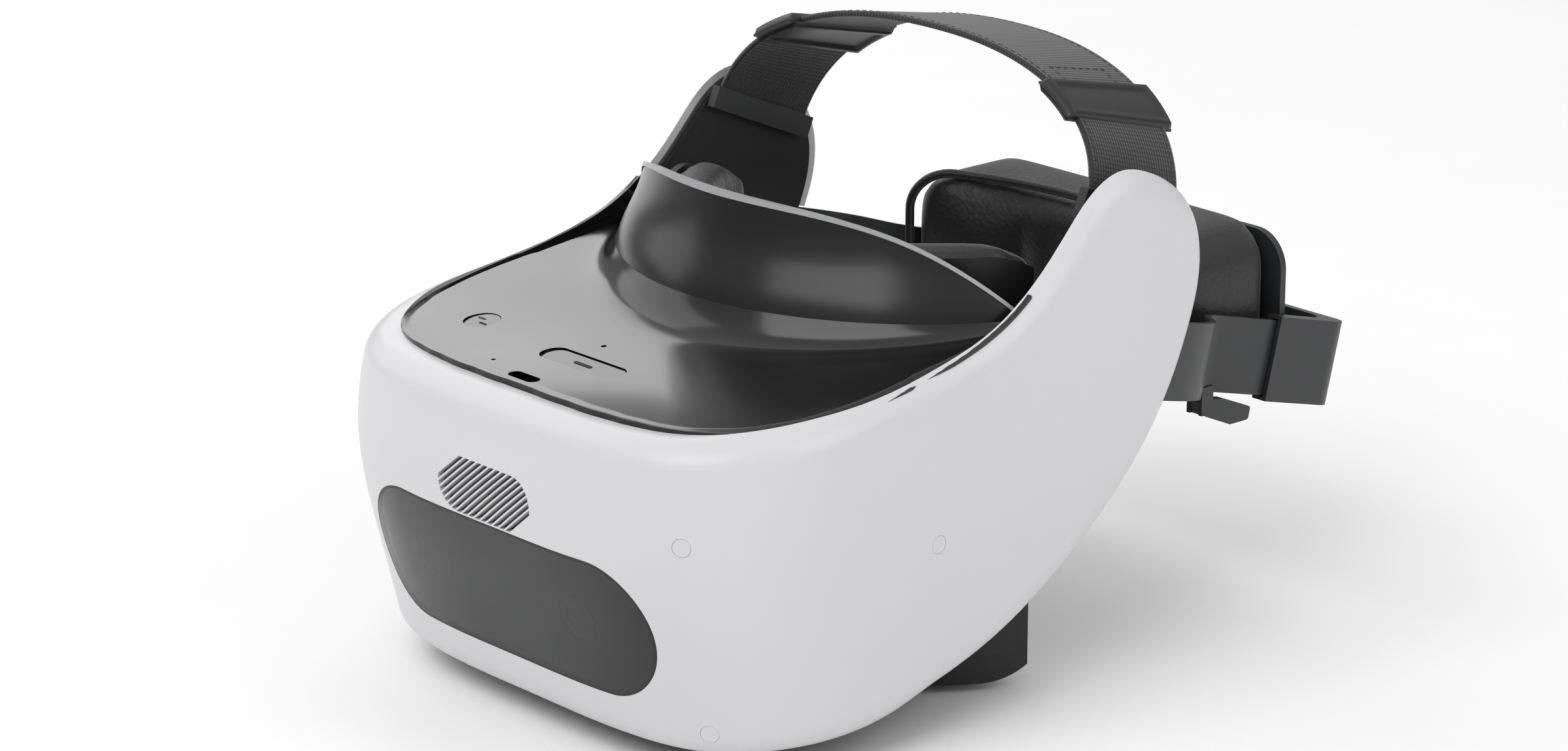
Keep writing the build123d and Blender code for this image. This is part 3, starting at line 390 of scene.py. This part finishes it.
# Keys on the deck: a round power key and a long volume rocker, moulded from the deck's own plastic. Each has a
# small mark of silicone rubber, which stays dull beside the gloss.
dress(gloss_black_pc, "power_button", "volume_rocker")
black_rubber = grain(new_material("black_silicone_rubber", "#0a0a0a", 0.6), 0.5, 0.01)
mark_thickness = 0.12
for number, (place, outline, lift, body) in enumerate((
        (power_place, oval(3.6, 0.8, 24), 1.02, "power"), (rocker_place, oval(8.0, 1.3, 24), 0.22, "rocker"))):
    mark = prism(outline, 0, mark_thickness, place + Vector((0, 0, lift)), deck_across, deck_along)
    finished("key_mark_%d" % number, mark, black_rubber, body, smooth=False)

# Charging socket, microphone and status light: a drawn metal shell with a brushed look, etched steel mesh that
# scatters light in points, and a clouded light pipe.
brushed_aluminium = grain(new_material("brushed_aluminium", "#b8b9bb", 0.35, metallic=1.0), 0.5, 0.003)
dress(brushed_aluminium, "usb_shell", "heat_sink", "guide_rods")
steel_mesh = grain(new_material("etched_steel", "#2a2a2c", 0.4, metallic=1.0), 0.3, 0.01)
dress(steel_mesh, "mic_mesh")
light_pipe = grain(new_material("clouded_light_pipe", "#c9d3cf", 0.3), 0.8, 0.002)
dress(light_pipe, "status_led")

# Inside of the arms, the underside and the parts inside the body: black ABS, moulded with a fine spark-eroded
# texture that breaks its highlights up.
textured_black_abs = grain(new_material("textured_black_abs", "#111112", 0.5), 0.7, 0.02)
dress(textured_black_abs, "arm_liner_left", "arm_liner_right", "bottom_cover", "face_wall", "face_frame",
      "fan_housing", "fan_rotor", "battery_pack", "optics_plate", "rod_holders", "lens_barrel_left",
      "lens_barrel_right", "ipd_bearing", "rocker_cradle", "usb_tongue", "headphone_jack", "ipd_wheel")
dress(black_rubber, "nose_flap")
# Solder mask: a green lacquer over the board's copper, slightly uneven.
solder_mask = grain(new_material("green_solder_mask", "#1f4a34", 0.35), 1.5, 0.03)
dress(solder_mask, "main_board")

# Front window: polished smoked glass, seated in a thin black gasket. The two cameras stand behind it on a black
# bracket, and their glass and the lenses inside have a hard, clear coating.
smoked_glass = grain(new_material("smoked_glass", "#77787b", 0.04), 2.0, 0.0005, 0.01, 0.02)
smoked_glass.node_tree.nodes["Principled BSDF"].inputs["Transmission Weight"].default_value = 1.0
dress(smoked_glass, "visor_window")
gasket_black = grain(new_material("black_gasket_abs", "#070707", 0.4), 0.5, 0.003)
dress(gasket_black, "visor_gasket", "camera_bracket", "grille_screen", "camera_left", "camera_right")
coated_glass = grain(new_material("coated_lens_glass", "#15181f", 0.03, coat=1.0), 2.0, 0.0005)
dress(coated_glass, "camera_glass_left", "camera_glass_right", "lens_left", "lens_right", "display_left",
      "display_right")

# Camera bezels: turned aluminium rings, anodised dark grey, seated round each camera's glass behind the window.
anodised_grey = grain(new_material("anodised_grey_aluminium", "#8d8f92", 0.3, metallic=1.0), 0.4, 0.002)
bezel_profile = [(5.8, 0.0), (5.9, 0.5), (6.3, 0.7), (6.8, 0.5), (6.9, 0.0)]
bezel_depth = 0.9
window_facing = (0, -0.976, -0.216)


def ring_band(name, middle, normal, profile, material, body, steps=64):
    """A turned ring: a closed profile of (radius, height) in mm swept about an axis."""
    normal = Vector(normal).normalized()
    side = normal.orthogonal().normalized()
    other = normal.cross(side)
    points, faces = [], []
    for i in range(steps):
        turn = 2 * math.pi * i / steps
        out = side * math.cos(turn) + other * math.sin(turn)
        points += [(Vector(middle) + out * radius + normal * height) / 1000 for radius, height in profile]
    count = len(profile)
    for i in range(steps):
        for k in range(count):
            after = (i + 1) % steps
            faces.append((i * count + k, i * count + (k + 1) % count, after * count + (k + 1) % count,
                          after * count + k))
    mesh = bpy.data.meshes.new(name)
    mesh.from_pydata(points, [], faces)
    return finished(name, mesh, material, body)


for label in ("left", "right"):
    low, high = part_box("camera_glass_" + label)
    face = Vector(((low[0] + high[0]) / 2, low[1], (low[2] + high[2]) / 2)) * 1000 - seat
    ring_band("camera_bezel_" + label, face + Vector((0, bezel_depth, 0)), window_facing, bezel_profile,
              anodised_grey, "front")

# Rear band, housing, tension dial and release tabs: dark grey ABS, moulded with a fine spark-eroded surface that
# gives a soft satin sheen.
dark_grey_abs = grain(new_material("satin_dark_grey_abs", "#2c2d2f", 0.38), 0.4, 0.006)
dress(dark_grey_abs, "side_band_left", "side_band_right", "rear_housing", "tension_dial", "rear_pad_shell",
      "tab_clip_left", "tab_clip_right", "release_tab_left", "release_tab_right", "strap_anchor_left",
      "strap_anchor_right")


def merged_copy(name, shrink):
    """A CAD node's solid with its triangles joined, drawn in towards its middle by some mm."""
    same_place = 0.00002
    mesh = nodes[name].data.copy()
    work = bmesh.new()
    work.from_mesh(mesh)
    bmesh.ops.remove_doubles(work, verts=work.verts, dist=same_place)
    low, high = [Vector(corner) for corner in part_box(name)]
    middle, size = (low + high) / 2, high - low
    for vertex in work.verts:
        for axis in range(3):
            kept = 1 - 2 * shrink / 1000 / size[axis]
            vertex.co[axis] = middle[axis] + (vertex.co[axis] - middle[axis]) * kept
    bmesh.ops.recalc_face_normals(work, faces=work.faces)
    work.to_mesh(mesh)
    work.free()
    return mesh


def blown(mesh, voxel, pressure, cap, is_held):
    """Foam under a skin: the closed shape is remeshed, blown up as cloth where it isn't held, then smoothed."""
    last_frame = 20
    holder = scratch(mesh)
    even = holder.modifiers.new("even", "REMESH")
    even.mode = "VOXEL"
    even.voxel_size = voxel / 1000
    soft = evaluated(holder)
    bpy.data.objects.remove(holder)
    holder = scratch(soft)
    held = holder.vertex_groups.new(name="held")
    held.add([v.index for v in soft.vertices if is_held(v.co * 1000)], 1.0, "REPLACE")
    rest = [v.co.copy() for v in soft.vertices]
    cloth = holder.modifiers.new("cloth", "CLOTH")
    cloth.settings.use_pressure = True
    cloth.settings.uniform_pressure_force = pressure
    cloth.settings.vertex_group_mass = "held"
    cloth.settings.effector_weights.gravity = 0.0
    cloth.point_cache.frame_start, cloth.point_cache.frame_end = 1, last_frame
    for step in range(1, last_frame + 1):
        scene.frame_set(step)
        bpy.context.view_layer.update()
    soft = evaluated(holder)
    for vertex, start in zip(soft.vertices, rest):
        move = vertex.co - start
        if move.length > cap / 1000:
            vertex.co = start + move * (cap / 1000 / move.length)
    scene.frame_set(1)
    bpy.data.objects.remove(holder)
    holder = scratch(soft)
    ease = holder.modifiers.new("ease", "SMOOTH")
    ease.iterations = 3
    finer = holder.modifiers.new("finer", "SUBSURF")
    finer.levels = finer.render_levels = 1
    result = evaluated(holder)
    bpy.data.objects.remove(holder)
    return result


# Face cushion: polyurethane foam under black leatherette, pressed on the face frame, with the eye opening and a
# notch for the nose. The skin's fine rounded cells soften its highlights.
held_radius = 75.2
leatherette = grain(new_material("black_leatherette", "#141416", 0.42), 1.3, 0.12, 0.08, 0.06, cells=True)
leatherette.node_tree.nodes["Principled BSDF"].inputs["Sheen Weight"].default_value = 0.15
face_pad = finished("face_pad", blown(
    merged_copy("face_cushion", 1.6), 3.4, 3.0, 3.0,
    lambda co: math.hypot(co.x, co.y - seat.y - head_y) > held_radius), leatherette, "front", seated=True)
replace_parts(face_pad, "face_cushion")

# Rear cushion: the same foam and leatherette, glued to its stiff shell, with a rolled edge seam all round.
shell_y = 255.5
rear_pad = finished("rear_pad", blown(
    merged_copy("rear_cushion", 1.8), 4.0, 4.0, 5.0, lambda co: co.y - seat.y > shell_y),
    leatherette, "rear", seated=True)
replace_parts(rear_pad, "rear_cushion")
piping_half_width, piping_half_height, piping_corner = 60.4, 24.7, 13.0
piping_radius, piping_step, piping_depth = 1.5, 3.0, 2.4
rear_pad_z = 97.0
rear_bend, rear_bend_y = 113.9, 118.1


def cord_tube(name, path, radius, material, body, closed=True):
    """A round bead along a path given in mm."""
    curve = bpy.data.curves.new(name, "CURVE")
    curve.dimensions = "3D"
    curve.bevel_depth = radius / 1000
    curve.bevel_resolution = 3
    curve.use_fill_caps = True
    spline = curve.splines.new("POLY")
    spline.points.add(len(path) - 1)
    for point, place in zip(spline.points, path):
        point.co = (*(Vector(place) / 1000), 1.0)
    spline.use_cyclic_u = closed
    holder = bpy.data.objects.new(name, curve)
    scene.collection.objects.link(holder)
    mesh = evaluated(holder)
    bpy.data.objects.remove(holder)
    return finished(name, mesh, material, body)


def rounded_loop(half_width, half_height, corner, steps):
    """Points round a rounded rectangle, counted from its middle."""
    loop = []
    for cx, cy, start in ((1, 1, 0), (-1, 1, 90), (-1, -1, 180), (1, -1, 270)):
        for i in range(steps):
            turn = math.radians(start + 90 * i / (steps - 1))
            loop.append((cx * (half_width - corner) + corner * math.cos(turn),
                         cy * (half_height - corner) + corner * math.sin(turn)))
    return loop


def pad_face(x):
    """Y of the rear cushion's face at one X, in mm: it is bent round the back of the head."""
    return rear_bend_y + math.sqrt(rear_bend ** 2 - x * x)


def edge_point(x, z):
    """A point of the rolled edge, which follows the face's bend."""
    return Vector((x, pad_face(min(abs(x), piping_half_width)) + piping_depth, z))


rolled_edge = [edge_point(x, rear_pad_z + z)
               for x, z in rounded_loop(piping_half_width, piping_half_height, piping_corner, 14)]
even_edge = []
for start, end in zip(rolled_edge, rolled_edge[1:] + rolled_edge[:1]):
    pieces = max(1, round((end - start).length / piping_step))
    for k in range(pieces):
        spot = start.lerp(end, k / pieces)
        even_edge.append(edge_point(spot.x, spot.z))
cord_tube("rear_piping", even_edge, piping_radius, leatherette, "rear")

# Strap over the crown: 38 mm nylon webbing with a soft brushed face, stretched between the arms and sewn back on
# itself at each end with bonded polyester thread.
strap_half_span, strap_end_z, strap_rise = 83.3, 141.0, 44.0
strap_width, strap_thickness = 38.0, 1.8


def stitch_tree():
    """Geometry nodes that lay short thread stitches along a curve."""
    tree = bpy.data.node_groups.new("thread_stitches", "GeometryNodeTree")
    tree.interface.new_socket("Geometry", in_out="INPUT", socket_type="NodeSocketGeometry")
    for label in ("Stitch Spacing", "Stitch Length", "Thread Radius"):
        tree.interface.new_socket(label, in_out="INPUT", socket_type="NodeSocketFloat")
    tree.interface.new_socket("Thread", in_out="INPUT", socket_type="NodeSocketMaterial")
    tree.interface.new_socket("Geometry", in_out="OUTPUT", socket_type="NodeSocketGeometry")
    given = add_node(tree, "NodeGroupInput")
    places = add_node(tree, "GeometryNodeCurveToPoints", [
        ("Curve", given.outputs["Geometry"]), ("Length", given.outputs["Stitch Spacing"])], mode="LENGTH")
    ball = add_node(tree, "GeometryNodeMeshUVSphere", [], {"Segments": 8, "Rings": 5, "Radius": 1.0})
    half = add_node(tree, "ShaderNodeMath", [(0, given.outputs["Stitch Length"])], {1: 0.5}, operation="MULTIPLY")
    size = add_node(tree, "ShaderNodeCombineXYZ", [
        ("X", given.outputs["Thread Radius"]), ("Y", given.outputs["Thread Radius"]), ("Z", half.outputs["Value"])])
    laid = add_node(tree, "GeometryNodeInstanceOnPoints", [
        ("Points", places.outputs["Points"]), ("Instance", ball.outputs["Mesh"]),
        ("Rotation", places.outputs["Rotation"]), ("Scale", size.outputs["Vector"])])
    real = add_node(tree, "GeometryNodeRealizeInstances", [("Geometry", laid.outputs["Instances"])])
    coloured = add_node(tree, "GeometryNodeSetMaterial", [
        ("Geometry", real.outputs["Geometry"]), ("Material", given.outputs["Thread"])])
    add_node(tree, "NodeGroupOutput", [("Geometry", coloured.outputs["Geometry"])])
    return tree


thread_stitches = stitch_tree()
bonded_thread = grain(new_material("bonded_polyester_thread", "#2b2b2e", 0.55), 0.3, 0.02)


def stitched(name, rows_of_points, spacing, length, radius, body):
    """Thread along rows of points given in mm, as one piece."""
    curve = bpy.data.curves.new(name, "CURVE")
    curve.dimensions = "3D"
    for row in rows_of_points:
        spline = curve.splines.new("POLY")
        spline.points.add(len(row) - 1)
        for point, place in zip(spline.points, row):
            point.co = (*(Vector(place) / 1000), 1.0)
    holder = bpy.data.objects.new(name, curve)
    scene.collection.objects.link(holder)
    modifier = holder.modifiers.new("stitches", "NODES")
    modifier.node_group = thread_stitches
    for socket in thread_stitches.interface.items_tree:
        values = {"Stitch Spacing": spacing / 1000, "Stitch Length": length / 1000,
                  "Thread Radius": radius / 1000, "Thread": bonded_thread}
        if socket.in_out == "INPUT" and socket.name in values:
            modifier[socket.identifier] = values[socket.name]
    mesh = evaluated(holder)
    bpy.data.objects.remove(holder)
    return finished(name, mesh, bonded_thread, body)


def strap_frame(turn):
    """The strap's middle, its width direction and its outward direction at one angle round the arch, in mm."""
    roundness = 2.3
    cosine, sine = math.cos(turn), math.sin(turn)
    x = strap_half_span * math.copysign(abs(cosine) ** (2 / roundness), cosine)
    rise = max(sine, 0.0) ** (2 / roundness)
    lean = math.radians(23.0 - 14.0 * rise)
    across = Vector((0, math.cos(lean), -math.sin(lean)))
    facing = Vector((math.copysign((abs(x) / strap_half_span) ** 1.3 / strap_half_span, x), 0,
                     rise ** 1.3 / 50.0 + 1e-6))
    facing = (facing - across * facing.dot(across)).normalized()
    return Vector((x, 171.0 + 15.5 * rise, strap_end_z + strap_rise * rise)), across, facing


def ribbon(name, first, last, steps, width, thickness, lift, material, body):
    """A flat band that follows the strap's arch between two angles, with rounded edges and its own UV map in m."""
    ring = [(width / 2, 0.0), (width / 2 - 0.25, 0.5), (width / 2 - 0.9, 0.5)]
    ring += [(width / 2 - 0.9 - (width - 1.8) * k / 12, 0.5) for k in range(1, 12)]
    ring += [(-width / 2 + 0.9, 0.5), (-width / 2 + 0.25, 0.5), (-width / 2, 0.0)]
    ring += [(-x, -y) for x, y in ring[1:-1]]
    points, faces, uvs = [], [], []
    run, before = 0.0, None
    for i in range(steps + 1):
        middle, across, facing = strap_frame(math.radians(first + (last - first) * i / steps))
        run += (middle - before).length if before else 0.0
        before = middle
        for x, y in ring:
            points.append((middle + across * x + facing * (y * thickness + lift)) / 1000)
            uvs.append((x / 1000, run / 1000))
    count = len(ring)
    for i in range(steps):
        for k in range(count):
            faces.append((i * count + k, i * count + (k + 1) % count, (i + 1) * count + (k + 1) % count,
                          (i + 1) * count + k))
    faces += [tuple(range(count)), tuple(range(steps * count, (steps + 1) * count))]
    mesh = bpy.data.meshes.new(name)
    mesh.from_pydata(points, [], faces)
    layer = mesh.uv_layers.new(name="webbing")
    for loop in mesh.loops:
        layer.data[loop.index].uv = uvs[loop.vertex_index]
    return finished(name, mesh, material, body), run / 1000


webbing = new_material("black_nylon_webbing", "#121213", 0.72)
tree = webbing.node_tree
shader = tree.nodes["Principled BSDF"]
shader.inputs["Sheen Weight"].default_value = 0.35
shader.inputs["Sheen Roughness"].default_value = 0.5
uv = add_node(tree, "ShaderNodeUVMap", uv_map="webbing")
# Picks run across the webbing every 1.4 mm and warp cords along it every 1.1 mm.
picks = add_node(tree, "ShaderNodeTexWave", [("Vector", uv.outputs["UV"])], {"Scale": 314.0 / 1.4},
                 bands_direction="Y")
cords = add_node(tree, "ShaderNodeTexWave", [("Vector", uv.outputs["UV"])], {"Scale": 314.0 / 1.1},
                 bands_direction="X")
weave = add_node(tree, "ShaderNodeMath", [(0, picks.outputs["Fac"]), (1, cords.outputs["Fac"])],
                 operation="MULTIPLY")
raised = add_node(tree, "ShaderNodeBump", [("Height", weave.outputs["Value"])],
                  {"Strength": 0.9, "Distance": 0.00025})
tree.links.new(raised.outputs["Normal"], shader.inputs["Normal"])
worn = add_node(tree, "ShaderNodeMapRange", [("Value", weave.outputs["Value"])],
                {"To Min": 0.62, "To Max": 0.85})
tree.links.new(worn.outputs["Result"], shader.inputs["Roughness"])
thread_tint = add_node(tree, "ShaderNodeMix", [(0, weave.outputs["Value"])], data_type="RGBA")
thread_tint.inputs[6].default_value = linear("#0b0b0c")
thread_tint.inputs[7].default_value = linear("#19191b")
tree.links.new(thread_tint.outputs[2], shader.inputs["Base Color"])
strap, strap_run = ribbon("crown_strap", 0.0, 180.0, 120, strap_width, strap_thickness, 0.0, webbing, "front")
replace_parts(strap, "top_strap")


def strap_row(first, last, offset, lift):
    """Points along the strap at an offset across it."""
    row = []
    for i in range(41):
        middle, across, facing = strap_frame(math.radians(first + (last - first) * i / 40))
        row.append(middle + across * offset + facing * lift)
    return row


# Two rows of thread run along the strap's edges, and a box of it holds each doubled end above its buckle.
on_top, box_half_width, box_turn = 0.92, 11.0, 9.0
box_starts = (49.5, 121.5)
strap_rows = [strap_row(1.5, 178.5, offset, on_top) for offset in (-17.0, 17.0)]
strap_rows += [strap_row(start, start + box_turn, offset, on_top)
               for start in box_starts for offset in (-box_half_width, box_half_width)]
for turn in [start + shift for start in box_starts for shift in (0.0, box_turn)]:
    middle, across, facing = strap_frame(math.radians(turn))
    strap_rows.append([middle + across * x + facing * on_top
                       for x in (-box_half_width, -5.0, 0.0, 5.0, box_half_width)])
stitched("strap_stitches", strap_rows, 3.0, 2.2, 0.22, "front")

# Strap buckles: moulded nylon ladder buckles with a satin surface, bent to the arch and clamped over the strap,
# with a raised frame round a sunk middle.
nylon = grain(new_material("satin_black_nylon", "#1d1d1f", 0.36), 0.4, 0.006)


def buckle(name, middle_turn):
    """A frame with rounded edges and a lower inner plate that follow the strap, mirrored under it."""
    half_turn, half_width, half_length = 8.6, 22.5, 10.0
    frame_height, frame_width, edge_round, least_height = 2.35, 3.1, 1.4, 0.35
    sink_depth, sink_slope = 0.9, 0.9
    steps, wide = 28, 36
    points, faces = [], []
    for side in (1, -1):
        for i in range(steps + 1):
            v = -1 + 2 * i / steps
            middle, across, facing = strap_frame(math.radians(middle_turn + half_turn * v))
            for k in range(wide + 1):
                u = -1 + 2 * k / wide
                edge = min((1 - abs(u)) * half_width, (1 - abs(v)) * half_length)
                sunk = min(1.0, max(0.0, (edge - frame_width) / sink_slope))
                lift = frame_height * (1 - max(0.0, 1 - edge / edge_round) ** 2)
                lift -= sink_depth * sunk * sunk * (3 - 2 * sunk)
                points.append((middle + across * (u * half_width) + facing * side * max(lift, least_height)) / 1000)
    count = wide + 1
    half = (steps + 1) * count
    for i in range(steps):
        for k in range(wide):
            a = i * count + k
            faces.append((a, a + 1, a + count + 1, a + count))
            faces.append((half + a, half + a + count, half + a + count + 1, half + a + 1))
    rim = list(range(count)) + [i * count + wide for i in range(1, steps + 1)]
    rim += [steps * count + k for k in range(wide - 1, -1, -1)] + [i * count for i in range(steps - 1, 0, -1)]
    for a, b in zip(rim, rim[1:] + rim[:1]):
        faces.append((a, b, half + b, half + a))
    mesh = bpy.data.meshes.new(name)
    mesh.from_pydata(points, [], faces)
    return finished(name, mesh, nylon, "front")


buckle_turn = 43.0
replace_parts(buckle("buckle_left", buckle_turn), "strap_buckle_left")
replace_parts(buckle("buckle_right", 180.0 - buckle_turn), "strap_buckle_right")
